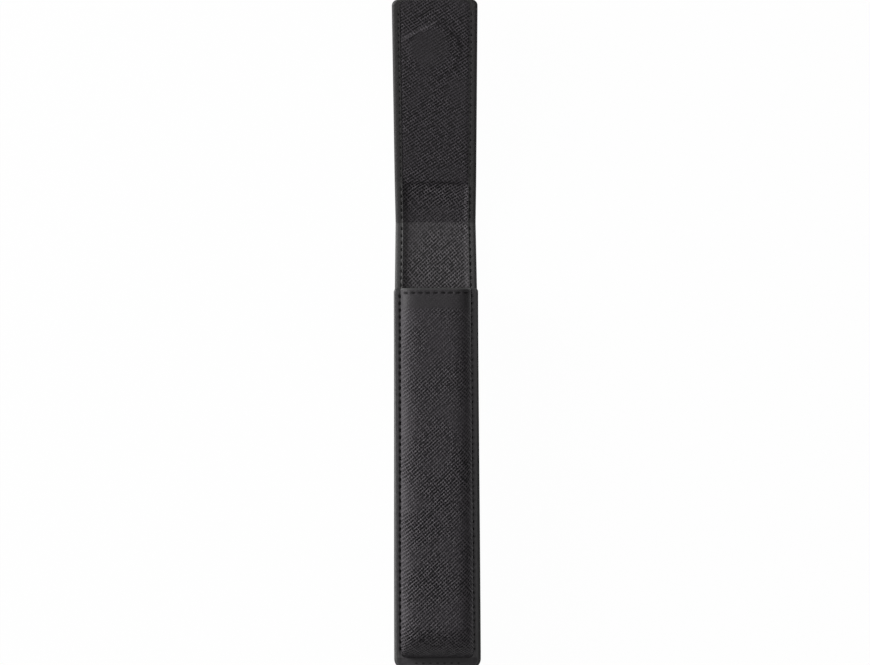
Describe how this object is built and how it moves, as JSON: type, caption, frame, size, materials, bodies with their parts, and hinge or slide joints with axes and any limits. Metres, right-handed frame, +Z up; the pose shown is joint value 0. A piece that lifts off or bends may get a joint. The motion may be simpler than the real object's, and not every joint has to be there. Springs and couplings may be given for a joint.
{
  "type": "single pen sleeve",
  "caption": "Slim leather sleeve for one pen: moulded pocket, open neck, and a magnetic flap on two creases, shown open.",
  "frame": {"origin": "middle of the back panel's resting face", "axes": "+X across the sleeve, +Y along it towards the open flap, +Z up out of the pocket's front"},
  "size_m": [0.0302, 0.2364, 0.016],
  "materials": {
    "leather": "black cross-grain embossed, satin",
    "lining": "black cross-grain embossed, satin",
    "board": "pressed fibre board, matt",
    "thread": "waxed polyester thread",
    "magnet": "nickel-plated magnet",
    "steel": "bright sheet steel"
  },
  "bodies": {
    "sleeve": {"back_leather": "leather", "back_board": "board", "back_lining": "lining", "neck_stitches": "thread", "front_leather": "leather", "front_board": "board", "front_lining": "lining", "keeper_plate": "steel", "mouth_stitches": "thread", "left_seam_stitches": "thread", "right_seam_stitches": "thread", "bottom_seam_stitches": "thread"},
    "hinge_strip": {"strip_leather": "leather", "strip_lining": "lining", "strip_stitches": "thread"},
    "flap": {"flap_leather": "leather", "flap_board": "board", "flap_lining": "lining", "flap_magnet": "magnet", "flap_stitches": "thread"}
  },
  "joints": [
    {"name": "lower_crease", "type": "hinge", "parent": "sleeve", "child": "hinge_strip", "pos_m": [0, 0.079, 0.0022], "axis": [1, 0, 0], "range_deg": [0, 80]},
    {"name": "upper_crease", "type": "hinge", "parent": "hinge_strip", "child": "flap", "pos_m": [0, 0.09298, 0.00467], "axis": [1, 0, 0], "range_deg": [0, 90]}
  ]
}
